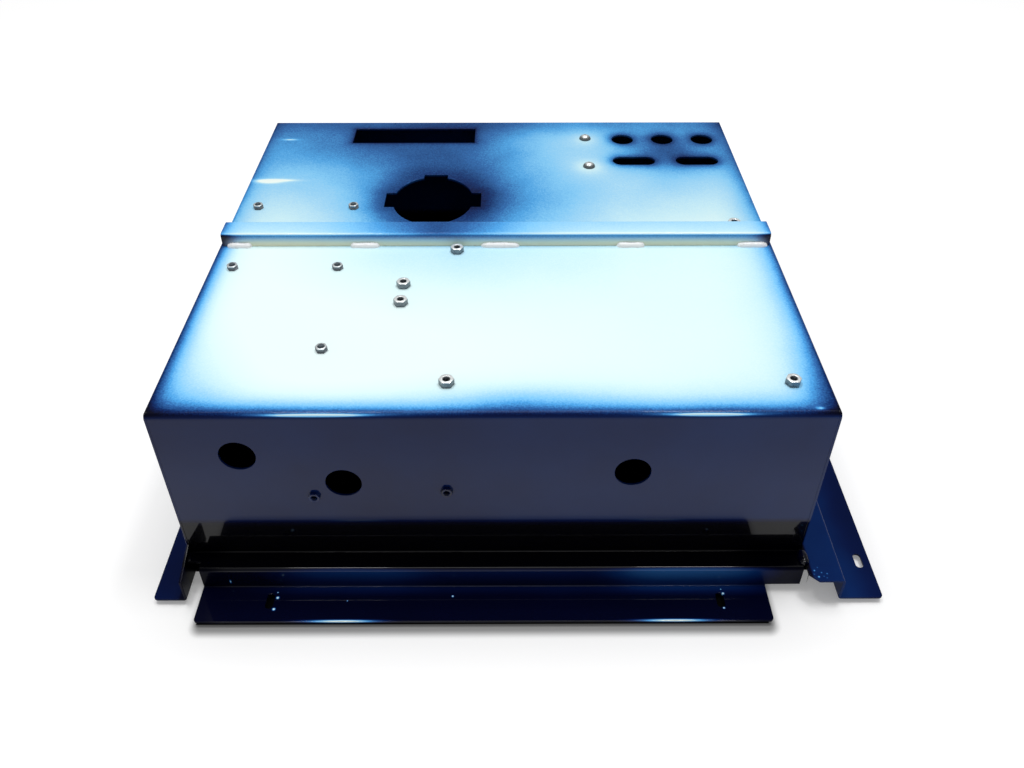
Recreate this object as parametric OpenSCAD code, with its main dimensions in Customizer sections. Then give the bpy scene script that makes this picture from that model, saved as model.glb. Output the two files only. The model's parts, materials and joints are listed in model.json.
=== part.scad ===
// The welded back box of a flush wall enclosure, lying on its mounting flanges with its open front down.
// Every module is drawn from the near end wall: X across the box from its middle, Y from the near end
// wall's outer face to the far one, Z up from the mounting plane. in_place() then moves it so that the
// origin is at the bottom centre of the whole part.

/* [Box] */
// Width across the side walls
body_w = 480; // [440:5:640]
// Depth across the end walls
body_d = 480; // [450:5:640]
// Height of the back panel's outer face above the mounting plane
body_h = 165; // [145:1:240]
// Thickness of the sheet steel
sheet_t = 2; // [1.5:0.1:2.4]
// Outside radius of the bends between the back panel and the end walls
back_bend_r = 5; // [4:0.5:8]
// Outside radius of the flange and channel bends
tight_bend_r = 3; // [2.6:0.1:4]
// Rounding of the side panels' ground edges along the back
ground_edge_r = 1.5; // [0.5:0.1:1.5]

/* [Mounting flanges] */
// Height of the ledges' upper face above the mounting plane
step_h = 22; // [16:1:30]
// Width of the ledges on the end walls
end_ledge_w = 18; // [15:1:26]
// Width of the outer flanges on the end walls
end_flange_w = 33; // [30:1:45]
// Width of the right side panel's ledge
side_ledge_w = 27; // [18:1:36]
// Width of the right side panel's outer flange
right_flange_w = 33; // [26:1:45]
// Width of the left side panel's flange
left_flange_w = 24; // [16:1:36]
// How far the side flanges run past the end walls
flange_overrun = 30; // [20:1:40]
// How much higher the side panels' feet are at the end walls than at their ends
foot_rise = 9; // [0:1:14]
// Size of the corner cut off each end of the right ledge, beside the end ledges
ledge_cut = 7; // [2:1:10]
// Gap between the left side panel and the end flanges' left ends
left_end_gap = 10; // [6:1:16]
// Width of the step cut from the right end of each outer end flange
right_notch_w = 27; // [15:1:40]
// Radius of the round relief at the left end of the end flanges' upper bend
relief_r = 8; // [4:0.5:9]
// Radius of the flanges' outer corners
flange_corner_r = 3; // [1:0.5:6]

/* [Flange slots] */
// Width of the mounting slots
slot_w = 6; // [4:0.5:8]
// Length of the mounting slots
slot_l = 14; // [10:1:18]
// Distance between the two slots of an end flange
end_slot_spacing = 347; // [280:1:380]
// Distance of the end flanges' slots from the flange's outer edge
end_slot_inset = 19; // [15:1:19]
// Distance of the right flange's slots from the flange's outer edge
side_slot_inset = 9; // [8:1:16]
// Distance of the right flange's slots from the end walls' outer faces
side_slot_setback = 6; // [0:1:40]

/* [Stiffener] */
// Distance of the channel's front face from the near end wall
channel_y = 220.5; // [205:0.5:225]
// Depth of the channel across its two legs
channel_d = 23; // [16:0.5:26]
// Height of the channel above the back panel
channel_h = 12; // [8:0.5:20]
// Distance of the channel's ends from the side walls' outer faces
channel_end_gap = 2.5; // [0:0.5:20]
// Number of stitch welds along the channel's front leg
weld_count = 5; // [3:1:7]
// Length of the first stitch weld from the left
weld_1_l = 22; // [16:1:28]
// Length of the second
weld_2_l = 26; // [16:1:36]
// Length of the third
weld_3_l = 34; // [16:1:36]
// Length of the fourth
weld_4_l = 25; // [16:1:36]
// Length of the fifth
weld_5_l = 27; // [16:1:28]
// How far the first stitch weld lies to the right of its place in an even row
weld_1_shift = 1; // [0:0.5:8]
// The same for the second
weld_2_shift = -2; // [-8:0.5:8]
// The same for the third
weld_3_shift = 3.5; // [-8:0.5:8]
// The same for the fourth
weld_4_shift = 5; // [-8:0.5:8]
// The same for the fifth
weld_5_shift = -1; // [-8:0.5:0]
// Leg of the stitch welds
weld_leg = 4; // [2.5:0.5:5]
// Distance of the end welds' centres from the channel's ends
weld_end_gap = 14; // [14:1:24]
// Radius of the weld beads in the right corners of the ledges
corner_weld_r = 4.5; // [3:0.5:6]
// Leg of the fillet welds in the left corners of the ledges
seam_weld_r = 2.5; // [1.2:0.1:4]

/* [Back panel cut-outs] */
// Width of the rectangular cut-out
window_w = 127; // [80:1:140]
// Depth of the rectangular cut-out
window_d = 34; // [20:1:40]
// Distance of its centre from the left side wall
window_x = 152; // [110:1:170]
// Distance of its centre from the far end wall
window_setback = 37; // [32:1:45]
// Width of the oval keyed hole
key_w = 75; // [60:1:84]
// Length of the oval keyed hole from front to back
key_l = 91; // [76:1:96]
// Distance of its centre from the left side wall
key_x = 180; // [160:1:190]
// Distance of its centre from the channel's back face
key_setback = 60; // [56:0.5:70]
// Reach of the side notches from the keyed hole's centre
key_side_reach = 45; // [44:0.5:50]
// Width of the side notches
key_side_w = 27; // [14:1:34]
// Reach of the front and back notches from the keyed hole's centre
key_end_reach = 50.5; // [45:0.5:53]
// Width of the front and back notches
key_end_w = 23; // [14:1:34]
// Diameter of the round cut-outs
round_d = 22.5; // [16:0.5:30]
// Distance of the outermost round cut-out from the right side wall
round_x = 27; // [22:1:34]
// Spacing of the round cut-outs
round_pitch = 41.5; // [34:0.5:44]
// Distance of the round cut-outs from the far end wall
round_setback = 46.5; // [36:0.5:50]
// Length of the obround cut-outs
obround_l = 42.5; // [30:0.5:52]
// Width of the obround cut-outs
obround_w = 18; // [12:0.5:24]
// Distance of the outermost obround cut-out from the right side wall
obround_x = 39.5; // [36:0.5:46]
// Spacing of the obround cut-outs
obround_pitch = 63.5; // [56:0.5:66]
// Distance of the obround cut-outs from the far end wall
obround_setback = 96; // [86:1:110]

/* [End wall holes] */
// Diameter of the conduit holes in the near end wall
conduit_d = 26.5; // [20:0.5:32]
// Distance of the outer left conduit hole from the left side wall
outer_conduit_x = 57.5; // [40:0.5:70]
// Depth of the outer left conduit hole below the back panel
outer_conduit_drop = 39; // [30:0.5:80]
// Distance of the inner left conduit hole from the left side wall
inner_conduit_x = 130; // [126:0.5:170]
// Depth of the inner left conduit hole below the back panel
inner_conduit_drop = 66.5; // [30:0.5:80]
// Distance of the right conduit hole from the right side wall
right_conduit_x = 139.5; // [60:0.5:160]
// Depth of the right conduit hole below the back panel
right_conduit_drop = 56; // [40:0.5:80]
// Depth of the end wall's right nut below the back panel
wall_nut_drop = 75; // [60:1:90]
// How much lower the left one sits
wall_nut_fall = 5; // [0:0.5:10]
// Distance of the first of them from the left side wall
wall_nut_x = 107; // [94:1:108]
// Spacing of the two
wall_nut_pitch = 98; // [80:1:140]

/* [Fastener places] */
// Distance of the pair of large nuts from the left side wall
pair_x = 165; // [140:0.5:200]
// Distance of the pair's nearer nut from the near end wall
pair_y = 133; // [110:0.5:150]
// Spacing of the pair
pair_pitch = 25.5; // [16:0.5:40]
// Distance of the middle row of large nuts from the left side wall
row_x = 206.5; // [204:0.5:215]
// Distance of the edge row of large nuts from the right side wall
edge_x = 27; // [20:0.5:40]
// Distance of the nearest large nuts from the near end wall
near_y = 33; // [20:0.5:60]
// Distance of the large nut in front of the channel from the channel
front_nut_gap = 9; // [6.5:0.5:14]
// Distance of the large nut behind the channel from the channel
back_nut_gap = 11.5; // [8:0.5:30]
// Distance of the small nuts beside the channel from the left side wall
small_x = 19.5; // [14:0.5:40]
// Spacing of those small nuts across the box
small_pitch = 88; // [60:0.5:96]
// Distance of the small nuts in front of the channel from the channel
front_small_gap = 35.5; // [14:0.5:60]
// Distance of the small nuts behind the channel from the channel
back_small_gap = 45; // [14:0.5:60]
// Distance of the single small nut from the left side wall
single_x = 111.5; // [80:0.5:130]
// Distance of the single small nut from the near end wall
single_y = 72.5; // [50:0.5:100]
// Distance of the domed screws from the right side wall
domed_x = 149; // [144:0.5:170]
// Distance of the far domed screw from the far end wall
domed_setback = 45; // [30:0.5:60]
// Spacing of the domed screws
domed_pitch = 63.5; // [40:0.5:80]

/* [Fasteners] */
// Width across flats of the large nuts
m6_af = 10; // [9:0.5:11]
// Height of the large nuts
m6_h = 5; // [4:0.1:6]
// Bore of the large nuts
m6_bore = 5; // [4.6:0.1:5.4]
// Hole in the sheet below a large nut
m6_clear = 6.6; // [6:0.1:7.2]
// Width across flats of the small nuts
m5_af = 8; // [7.5:0.5:9]
// Height of the small nuts
m5_h = 4; // [3:0.1:5]
// Height of the thin nuts on the near end wall
thin_nut_h = 2.7; // [2:0.1:4]
// Bore of the small nuts
m5_bore = 4.2; // [3.9:0.1:4.5]
// Hole in the sheet below a small nut
m5_clear = 5.5; // [5.2:0.1:6]
// Clearance between a screw's shank and the bore of its nut, all round
thread_gap = 0.1; // [0.05:0.05:0.3]
// How far a screw's end stands past its nut
screw_proud = 1; // [0.5:0.1:3]
// Diameter of the small screws' heads inside the box
m5_head_d = 9.5; // [8:0.1:10]
// Height of the small screws' heads
m5_head_h = 3.5; // [2.5:0.1:4.5]
// Diameter of the two domed screw heads on the back panel
m6_head_d = 12; // [10.5:0.1:13]
// Height of the domed screw heads
m6_head_h = 4.5; // [3:0.1:5]
// Width across the arms of the cross recess in the domed heads
recess_w = 5; // [3:0.1:6]
// Depth of the cross recess
recess_h = 2; // [1:0.1:2.4]

/* [Hidden] */
$fn = 64;
half_w = body_w / 2;
wrap_half_w = half_w - sheet_t;
channel_back = channel_y + channel_d;
left_reach = half_w + left_flange_w;
leg_x = half_w + side_ledge_w;
right_reach = leg_x + right_flange_w;
end_reach = end_ledge_w + end_flange_w;
flange_left_x = -wrap_half_w + left_end_gap;
flange_right_x = wrap_half_w - right_notch_w;
channel_w = body_w - 2 * channel_end_gap;
weld_pitch = (channel_w - 2 * weld_end_gap) / (weld_count - 1);
weld_lengths = [weld_1_l, weld_2_l, weld_3_l, weld_4_l, weld_5_l];
weld_shifts = [weld_1_shift, weld_2_shift, weld_3_shift, weld_4_shift, weld_5_shift];
// Middle of a sheet, and the radius of its middle line in a bend
mid = sheet_t / 2;
back_mid_r = back_bend_r - mid;
tight_mid_r = tight_bend_r - mid;
inside_bend_r = tight_bend_r - sheet_t;
// Depth of the stretch of ledge that closes each left corner of the end walls
corner_tab_d = end_ledge_w - relief_r;
// A small overlap, so that cutting tools pass right through what they cut
past = 1;
// Fastener places on the back panel, and the end wall's nuts
m6_spots = [
  [-half_w + pair_x, pair_y + pair_pitch],
  [-half_w + pair_x, pair_y],
  [-half_w + row_x, near_y],
  [half_w - edge_x, near_y],
  [-half_w + row_x, channel_y - front_nut_gap],
  [half_w - edge_x, channel_back + back_nut_gap]
];
m5_spots = [
  [-half_w + small_x, channel_back + back_small_gap],
  [-half_w + small_x + small_pitch, channel_back + back_small_gap],
  [-half_w + small_x, channel_y - front_small_gap],
  [-half_w + small_x + small_pitch, channel_y - front_small_gap],
  [-half_w + single_x, single_y]
];
domed_spots = [
  [half_w - domed_x, body_d - domed_setback],
  [half_w - domed_x, body_d - domed_setback - domed_pitch]
];
wall_nut_spots = [
  [-half_w + wall_nut_x, body_h - wall_nut_drop - wall_nut_fall],
  [-half_w + wall_nut_x + wall_nut_pitch, body_h - wall_nut_drop]
];
corner_names = ["near_left", "near_right", "far_left", "far_right"];

// Moves a piece from the near end wall's frame to the part's own frame
module in_place() {
  translate([(left_reach - right_reach) / 2, -body_d / 2, 0]) children();
}

// Turns a section drawn in Y and Z into a bar that runs w along X, middled on X = 0
module along_x(w) {
  rotate([90, 0, 90]) linear_extrude(height = w, center = true) children();
}

// Turns a section drawn in X and Z into a bar that runs along Y between two places
module along_y(from, to) {
  translate([0, to, 0]) rotate([90, 0, 0]) linear_extrude(height = to - from) children();
}

// One quarter of a bend, from the direction into it to the direction out of it
module bend_quarter(into, out, mid_r) {
  reach = mid_r + sheet_t;
  intersection() {
    difference() {
      circle(r = mid_r + mid);
      circle(r = mid_r - mid);
    }
    polygon([[0, 0], reach * into, reach * (into - out), -reach * out]);
  }
}

// The section of a folded sheet: its middle line runs through the points, and each corner is a
// square bend with that corner's radius
module folded_section(points, radii) {
  last = len(points) - 1;
  for (i = [0:last - 1]) {
    run = points[i + 1] - points[i];
    way = run / norm(run);
    start = points[i] + way * radii[i];
    length = norm(run) - radii[i] - radii[i + 1];
    translate(start) rotate(atan2(way.y, way.x)) translate([0, -mid]) square([length, sheet_t]);
    if (i > 0) {
      before = points[i] - points[i - 1];
      into = before / norm(before);
      translate(points[i] + (way - into) * radii[i]) bend_quarter(into, way, radii[i]);
    }
  }
}

// A flat rectangle with round corners, from its lowest corner
module rounded_rect(size, r) {
  translate([r, 0]) square([size.x - 2 * r, size.y]);
  translate([0, r]) square([size.x, size.y - 2 * r]);
  for (x = [r, size.x - r], y = [r, size.y - r]) translate([x, y]) circle(r = r);
}

// A cutter for an obround slot whose long way is Y, standing in Z
module slot_cutter(width, length, height) {
  straight = length - width;
  translate([-width / 2, -straight / 2, 0]) cube([width, straight, height]);
  for (side = [-1, 1]) translate([0, side * straight / 2, 0]) cylinder(d = width, h = height);
}

// Repeats its children at the near end and, mirrored, at the far end
module both_ends() {
  children();
  translate([0, body_d, 0]) mirror([0, 1, 0]) children();
}

// The outline of the back wrap seen from above, flanges included
module wrap_plan() {
  translate([-wrap_half_w, 0]) square([2 * wrap_half_w, body_d]);
  for (far = [0, 1]) translate([0, far * body_d]) mirror([0, far]) {
    translate([-wrap_half_w, -corner_tab_d]) square([2 * wrap_half_w, corner_tab_d + past]);
    translate([flange_left_x, -end_ledge_w]) square([wrap_half_w - flange_left_x, end_ledge_w]);
    translate([flange_left_x, -end_reach])
      rounded_rect([flange_right_x - flange_left_x, end_reach], flange_corner_r);
  }
}

// The folded sheet before any hole is cut: outer flange, leg, ledge, end wall, back panel and back again
module wrap_blank() {
  low = step_h - mid;
  high = body_h - mid;
  points = [
    [-end_reach, mid],
    [mid - end_ledge_w, mid],
    [mid - end_ledge_w, low],
    [mid, low],
    [mid, high],
    [body_d - mid, high],
    [body_d - mid, low],
    [body_d + end_ledge_w - mid, low],
    [body_d + end_ledge_w - mid, mid],
    [body_d + end_reach, mid]
  ];
  tight = tight_mid_r;
  wide = back_mid_r;
  along_x(body_w) folded_section(points, [0, tight, tight, tight, wide, wide, tight, tight, tight, 0]);
}

// The round relief at the left end of an end flange's upper bend
module bend_relief() {
  translate([flange_left_x, -end_ledge_w, 0]) {
    translate([0, 0, step_h - 2 * tight_bend_r]) cylinder(r = relief_r, h = 3 * tight_bend_r);
    translate([0, -past, step_h]) rotate([-90, 0, 0]) cylinder(r = relief_r, h = sheet_t + 2 * past);
  }
}

// Cuts away the bend below the leg where the outer flange stops short at its right end
module right_notch() {
  translate([flange_right_x, -end_reach, -past])
    cube([right_notch_w + past, end_reach - end_ledge_w + tight_bend_r, tight_bend_r + past]);
}

// The two mounting slots of an end flange
module end_slots() {
  for (side = [-1, 1])
    translate([side * end_slot_spacing / 2, -end_reach + end_slot_inset, -past])
      slot_cutter(slot_w, slot_l, sheet_t + 2 * past);
}

// A round hole through the back panel
module back_hole(x, y, d) {
  translate([x, y, body_h - sheet_t - past]) cylinder(d = d, h = sheet_t + 2 * past);
}

// A round hole through the near end wall
module end_hole(x, drop, d) {
  translate([x, -past, body_h - drop]) rotate([-90, 0, 0]) cylinder(d = d, h = sheet_t + 2 * past);
}

// The keyed hole: an oval hole with four notches
module key_cutter() {
  deep = sheet_t + 2 * past;
  translate([-half_w + key_x, channel_back + key_setback, body_h - sheet_t - past]) {
    scale([key_w / key_l, 1, 1]) cylinder(d = key_l, h = deep, $fn = 96);
    translate([-key_side_reach, -key_side_w / 2, 0]) cube([2 * key_side_reach, key_side_w, deep]);
    translate([-key_end_w / 2, -key_end_reach, 0]) cube([key_end_w, 2 * key_end_reach, deep]);
  }
}

module back_cutouts() {
  deep = sheet_t + 2 * past;
  low = body_h - sheet_t - past;
  translate([-half_w + window_x - window_w / 2, body_d - window_setback - window_d / 2, low])
    cube([window_w, window_d, deep]);
  key_cutter();
  for (i = [0:2]) back_hole(half_w - round_x - i * round_pitch, body_d - round_setback, round_d);
  for (i = [0:1])
    translate([half_w - obround_x - i * obround_pitch, body_d - obround_setback, low])
      rotate([0, 0, 90]) slot_cutter(obround_w, obround_l, deep);
}

module fastener_holes() {
  for (spot = concat(m6_spots, domed_spots)) back_hole(spot.x, spot.y, m6_clear);
  for (spot = m5_spots) back_hole(spot.x, spot.y, m5_clear);
  for (spot = wall_nut_spots) end_hole(spot.x, body_h - spot.y, m5_clear);
}

module conduit_holes() {
  end_hole(-half_w + outer_conduit_x, outer_conduit_drop, conduit_d);
  end_hole(-half_w + inner_conduit_x, inner_conduit_drop, conduit_d);
  end_hole(half_w - right_conduit_x, right_conduit_drop, conduit_d);
}

// One sheet folded into the back panel, both end walls and their stepped flanges
module back_wrap() {
  in_place() color("midnightblue") difference() {
    intersection() {
      wrap_blank();
      translate([0, 0, -past]) linear_extrude(height = body_h + 2 * past) wrap_plan();
    }
    both_ends() {
      bend_relief();
      right_notch();
      end_slots();
    }
    back_cutouts();
    fastener_holes();
    conduit_holes();
  }
}

// The outline of a side panel seen from the side: the wall above the step, and the longer foot below it,
// whose two ends rise towards the wall
module side_outline() {
  foot_h = step_h + foot_rise;
  difference() {
    union() {
      translate([-flange_overrun, -past]) square([body_d + 2 * flange_overrun, foot_h + past]);
      rounded_rect([body_d, body_h], back_bend_r);
    }
    for (end = [0, 1]) translate([end * body_d, foot_h]) mirror([end, 0])
      polygon([[0, 0], [-flange_overrun, -foot_rise], [-flange_overrun - past, 0]]);
  }
}

// The outline of a side panel's flange seen from above, wide enough for its wall
module flange_plan(width) {
  translate([-width, -flange_overrun])
    rounded_rect([2 * width, body_d + 2 * flange_overrun], flange_corner_r);
}

// A side wall that folds straight out into a flange at the mounting plane
module left_side_panel() {
  points = [[-left_reach, mid], [mid - half_w, mid], [mid - half_w, body_h]];
  in_place() color("midnightblue") intersection() {
    along_y(-flange_overrun, body_d + flange_overrun) difference() {
      folded_section(points, [0, tight_mid_r, 0]);
      translate([-half_w, body_h]) ground_edge();
    }
    along_x(2 * left_reach + 2 * past) side_outline();
    translate([0, 0, -past]) linear_extrude(height = body_h + 2 * past) flange_plan(left_reach);
  }
}

// The corner that is ground off the top of a side wall, from its outer edge inwards
module ground_edge() {
  translate([0, -ground_edge_r]) difference() {
    translate([-past, 0]) square([ground_edge_r + past, ground_edge_r + past]);
    translate([ground_edge_r, 0]) circle(r = ground_edge_r);
  }
}

// A side wall that steps out over a ledge and a leg before its outer flange
module right_side_panel() {
  low = step_h - mid;
  points = [
    [half_w - mid, body_h],
    [half_w - mid, low],
    [leg_x - mid, low],
    [leg_x - mid, mid],
    [right_reach, mid]
  ];
  in_place() color("midnightblue") difference() {
    intersection() {
      along_y(-flange_overrun, body_d + flange_overrun) difference() {
        folded_section(points, [0, tight_mid_r, tight_mid_r, tight_mid_r, 0]);
        translate([half_w, body_h]) mirror([1, 0]) ground_edge();
      }
      along_x(2 * right_reach + 2 * past) side_outline();
      translate([0, 0, -past]) linear_extrude(height = body_h + 2 * past) flange_plan(right_reach);
    }
    both_ends() {
      translate([half_w - 2 * tight_bend_r, -flange_overrun - past, -past])
        cube([2 * tight_bend_r, flange_overrun + past, step_h + foot_rise + 2 * past]);
      translate([half_w, -flange_overrun, -past]) rotate(45)
        translate([-ledge_cut / sqrt(2), -ledge_cut / sqrt(2), 0])
          cube([ledge_cut * sqrt(2), ledge_cut * sqrt(2), step_h + 2 * past]);
      translate([right_reach - side_slot_inset, side_slot_setback, -past])
        slot_cutter(slot_w, slot_l, sheet_t + 2 * past);
    }
  }
}

// An upturned channel that stands on its two legs across the back panel
module stiffener_channel() {
  top = body_h + channel_h - mid;
  front = channel_y + mid;
  back = channel_back - mid;
  points = [[front, body_h], [front, top], [back, top], [back, body_h]];
  in_place() color("navy") along_x(channel_w) folded_section(points, [0, tight_mid_r, tight_mid_r, 0]);
}

// One short fillet weld between the channel's front leg and the back panel, counted from the left
module stitch_weld(number) {
  place = (number - 1) % len(weld_lengths);
  weld_l = weld_lengths[place];
  centre_x = -channel_w / 2 + weld_end_gap + (number - 1) * weld_pitch + weld_shifts[place];
  straight = weld_l - 2 * weld_leg;
  in_place() color("lightsteelblue") translate([centre_x, channel_y, body_h]) intersection() {
    union() {
      rotate([0, 90, 0]) cylinder(r = weld_leg, h = straight, center = true);
      for (side = [-1, 1]) translate([side * straight / 2, 0, 0]) sphere(r = weld_leg);
    }
    translate([-weld_l / 2 - past, -weld_leg - past, 0])
      cube([weld_l + 2 * past, weld_leg + past, weld_leg + past]);
  }
}

// A fillet weld in the corner between the left panel's foot and an end ledge
module left_corner_weld() {
  weld_l = corner_tab_d - inside_bend_r;
  translate([-wrap_half_w, -inside_bend_r, step_h]) intersection() {
    rotate([90, 0, 0]) cylinder(r = seam_weld_r, h = weld_l);
    translate([0, -weld_l - past, 0]) cube([seam_weld_r + past, weld_l + 2 * past, seam_weld_r + past]);
  }
}

// A half-round bead over the gap between the right panel's ledge and an end ledge
module right_corner_weld() {
  straight = end_ledge_w - tight_bend_r - inside_bend_r - corner_weld_r;
  translate([half_w - mid, -inside_bend_r, step_h]) intersection() {
    union() {
      rotate([90, 0, 0]) cylinder(r = corner_weld_r, h = straight);
      translate([0, -straight, 0]) sphere(r = corner_weld_r);
    }
    translate([-corner_weld_r - past, -end_ledge_w - past, 0])
      cube([2 * (corner_weld_r + past), end_ledge_w + past, corner_weld_r + past]);
  }
}

module corner_weld(right, far) {
  in_place() color("black") translate([0, far * body_d, 0]) mirror([0, far, 0]) {
    if (right == 1) right_corner_weld();
    else left_corner_weld();
  }
}

// A nut with both its ends chamfered, standing on Z = 0
module hex_nut(af, height, bore) {
  corner_d = af / cos(30);
  chamfer = (corner_d - af) / 2;
  difference() {
    intersection() {
      cylinder(d = corner_d, h = height, $fn = 6);
      rotate_extrude() polygon([
        [0, 0], [corner_d / 2, 0], [corner_d / 2, height - chamfer / 2],
        [corner_d / 2 - chamfer, height], [0, height]
      ]);
    }
    translate([0, 0, -past]) cylinder(d = bore, h = height + 2 * past);
    translate([0, 0, height - chamfer]) cylinder(d1 = bore, d2 = bore + 4 * chamfer, h = 2 * chamfer);
  }
}

// A large nut on the back panel, for a screw from inside
module m6_nut(spot) {
  in_place() color("silver") translate([spot.x, spot.y, body_h]) hex_nut(m6_af, m6_h, m6_bore);
}

module m5_nut(spot) {
  in_place() color("silver") translate([spot.x, spot.y, body_h]) hex_nut(m5_af, m5_h, m5_bore);
}

// A small screw from inside the box: its head under the back panel, its end just past the nut
module m5_screw(spot) {
  shank_d = m5_bore - 2 * thread_gap;
  shank_l = sheet_t + m5_h + screw_proud;
  in_place() color("silver") translate([spot.x, spot.y, body_h - sheet_t]) {
    cylinder(d = shank_d, h = shank_l);
    translate([0, 0, -m5_head_h]) cylinder(d = m5_head_d, h = m5_head_h);
  }
}

// A domed screw from outside, with a cross recess in its head
module domed_screw(spot) {
  shank_d = m6_bore - 2 * thread_gap;
  shank_l = sheet_t + m6_h + screw_proud;
  cap_r = ((m6_head_d / 2) ^ 2 + m6_head_h ^ 2) / (2 * m6_head_h);
  arm_w = recess_w / 4;
  in_place() color("silver") translate([spot.x, spot.y, body_h]) {
    translate([0, 0, -shank_l]) cylinder(d = shank_d, h = shank_l + past);
    difference() {
      intersection() {
        cylinder(d = m6_head_d, h = m6_head_h);
        translate([0, 0, m6_head_h - cap_r]) sphere(r = cap_r);
      }
      for (turn = [0, 90]) rotate([0, 0, turn]) translate([-recess_w / 2, -arm_w / 2, m6_head_h - recess_h])
        cube([recess_w, arm_w, m6_head_h]);
    }
  }
}

// The nut inside the box that holds a domed screw
module inner_nut(spot) {
  in_place() color("silver") translate([spot.x, spot.y, body_h - sheet_t]) mirror([0, 0, 1])
    hex_nut(m6_af, m6_h, m6_bore);
}

// A thin nut on the near end wall's outer face
module wall_nut(spot) {
  in_place() color("steelblue") translate([spot.x, 0, spot.y]) rotate([90, 0, 0])
    hex_nut(m5_af, thin_nut_h, m5_bore);
}

back_wrap();
left_side_panel();
right_side_panel();
stiffener_channel();
for (i = [1:weld_count])
  stitch_weld(i);
for (far = [0, 1], right = [0, 1])
  corner_weld(right, far);
for (i = [1:len(m6_spots)])
  m6_nut(m6_spots[i - 1]);
for (i = [1:len(m5_spots)]) {
  m5_nut(m5_spots[i - 1]);
  m5_screw(m5_spots[i - 1]);
}
for (i = [1:len(domed_spots)]) {
  domed_screw(domed_spots[i - 1]);
  inner_nut(domed_spots[i - 1]);
}
for (i = [1:len(wall_nut_spots)])
  wall_nut(wall_nut_spots[i - 1]);
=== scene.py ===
# %% [markdown]
# # A flush wall enclosure's back box, dressed for the camera
#
# The object is a welded steel back box that lies with its open front down on its own mounting
# flanges. The construction model already gives every sheet, nut and screw its true place and size.
# This lesson keeps those places and adds what a painter and a welder leave behind: dressed edges,
# rippled weld beads, cut threads, sprayed paint that thins towards the middle of a panel, and zinc.

# %% Load the fixed frame
import json
import math

import bpy
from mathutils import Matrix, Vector


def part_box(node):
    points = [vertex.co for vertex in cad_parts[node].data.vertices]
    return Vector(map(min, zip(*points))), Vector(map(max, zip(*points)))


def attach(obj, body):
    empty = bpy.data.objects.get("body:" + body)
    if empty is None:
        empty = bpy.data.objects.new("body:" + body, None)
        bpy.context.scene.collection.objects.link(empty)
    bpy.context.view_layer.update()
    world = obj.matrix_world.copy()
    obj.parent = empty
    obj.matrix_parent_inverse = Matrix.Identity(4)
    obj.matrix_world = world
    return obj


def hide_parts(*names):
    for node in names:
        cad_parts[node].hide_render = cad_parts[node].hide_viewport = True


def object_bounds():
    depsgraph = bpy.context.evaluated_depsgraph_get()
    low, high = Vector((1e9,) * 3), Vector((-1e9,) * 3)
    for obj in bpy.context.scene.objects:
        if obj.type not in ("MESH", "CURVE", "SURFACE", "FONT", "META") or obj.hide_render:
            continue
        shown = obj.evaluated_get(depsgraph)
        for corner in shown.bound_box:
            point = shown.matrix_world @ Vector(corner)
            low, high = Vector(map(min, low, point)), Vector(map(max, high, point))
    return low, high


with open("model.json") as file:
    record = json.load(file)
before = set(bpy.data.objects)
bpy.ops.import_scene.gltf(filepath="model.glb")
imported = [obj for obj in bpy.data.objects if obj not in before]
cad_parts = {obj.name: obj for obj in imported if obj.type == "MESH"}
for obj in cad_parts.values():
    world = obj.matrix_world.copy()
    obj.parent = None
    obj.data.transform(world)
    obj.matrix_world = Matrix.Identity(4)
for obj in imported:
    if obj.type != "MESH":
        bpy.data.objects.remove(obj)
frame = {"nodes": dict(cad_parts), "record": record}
cad_low, cad_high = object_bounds()
record = frame["record"]
MM = 0.001
print("frame box, mm:", [round(v / MM, 1) for v in (*cad_low, *cad_high)])

# %% [markdown]
# ## Places read from the record
#
# Nothing below is placed by eye. The openings and mounts in the record say where each cut-out, nut
# and hole lies, so the paint can fade round the same edges that the sheet really has.

# %% Look up openings, mounts and panel edges
openings = {o["name"]: [Vector(c) for c in o["box_m"]] for o in record["physics"]["openings"]}
mounts = {m["name"]: m for m in record["mounts"]}
SHEET = 2 * MM
channel_low, channel_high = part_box("stiffener_channel")
top_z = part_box("back_wrap")[1].z
left_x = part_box("left_side_panel")[1].x - SHEET
right_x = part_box("right_side_panel")[0].x + SHEET
near_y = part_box("wall_nut_1")[1].y
far_y = -near_y
middle_x = (left_x + right_x) / 2
half_width = right_x - middle_x
print("panel, mm:", [round(v / MM, 1) for v in (left_x, right_x, near_y, far_y, top_z)])


def opening_box(name):
    """Centre and half size of an opening."""
    low, high = openings[name]
    return (low + high) / 2, (high - low) / 2


# %% [markdown]
# ## Camera
#
# A product shot from above and in front, with a normal lens a little wide of standard. The box
# looks wider at the front than at the back because the camera stands close to it.

# %% Camera
camera_data = bpy.data.cameras.new("camera")
camera_data.lens = 32.15
camera_data.sensor_width = 36
camera = bpy.data.objects.new("camera", camera_data)
camera.location = (-0.00668, -0.70733, 0.58095)
camera.rotation_euler = (math.radians(50.25), 0, math.radians(-0.2))
bpy.context.scene.collection.objects.link(camera)
bpy.context.scene.camera = camera
bpy.context.scene.view_settings.view_transform = "Standard"
print("camera stands", round(camera.location.length, 2), "m from the middle of the floor")

# %% [markdown]
# ## A short way to write shader nodes
#
# Every finish here is made of nodes. One helper adds a node and fills its inputs: it links a socket
# where it is given one, and otherwise writes the value, so a material reads like a sentence. The
# others are the sums that a finish needs again and again.


# %% Node helpers
def fill(tree, made, inputs):
    """Link every input that is given a socket, and set every other one."""
    for name, value in (inputs or {}).items():
        if isinstance(value, bpy.types.NodeSocket):
            tree.links.new(value, made.inputs[name])
        else:
            made.inputs[name].default_value = value
    return made


def node(tree, kind, inputs=None, **settings):
    made = tree.nodes.new(kind)
    for name, value in settings.items():
        setattr(made, name, value)
    return fill(tree, made, inputs)


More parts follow.
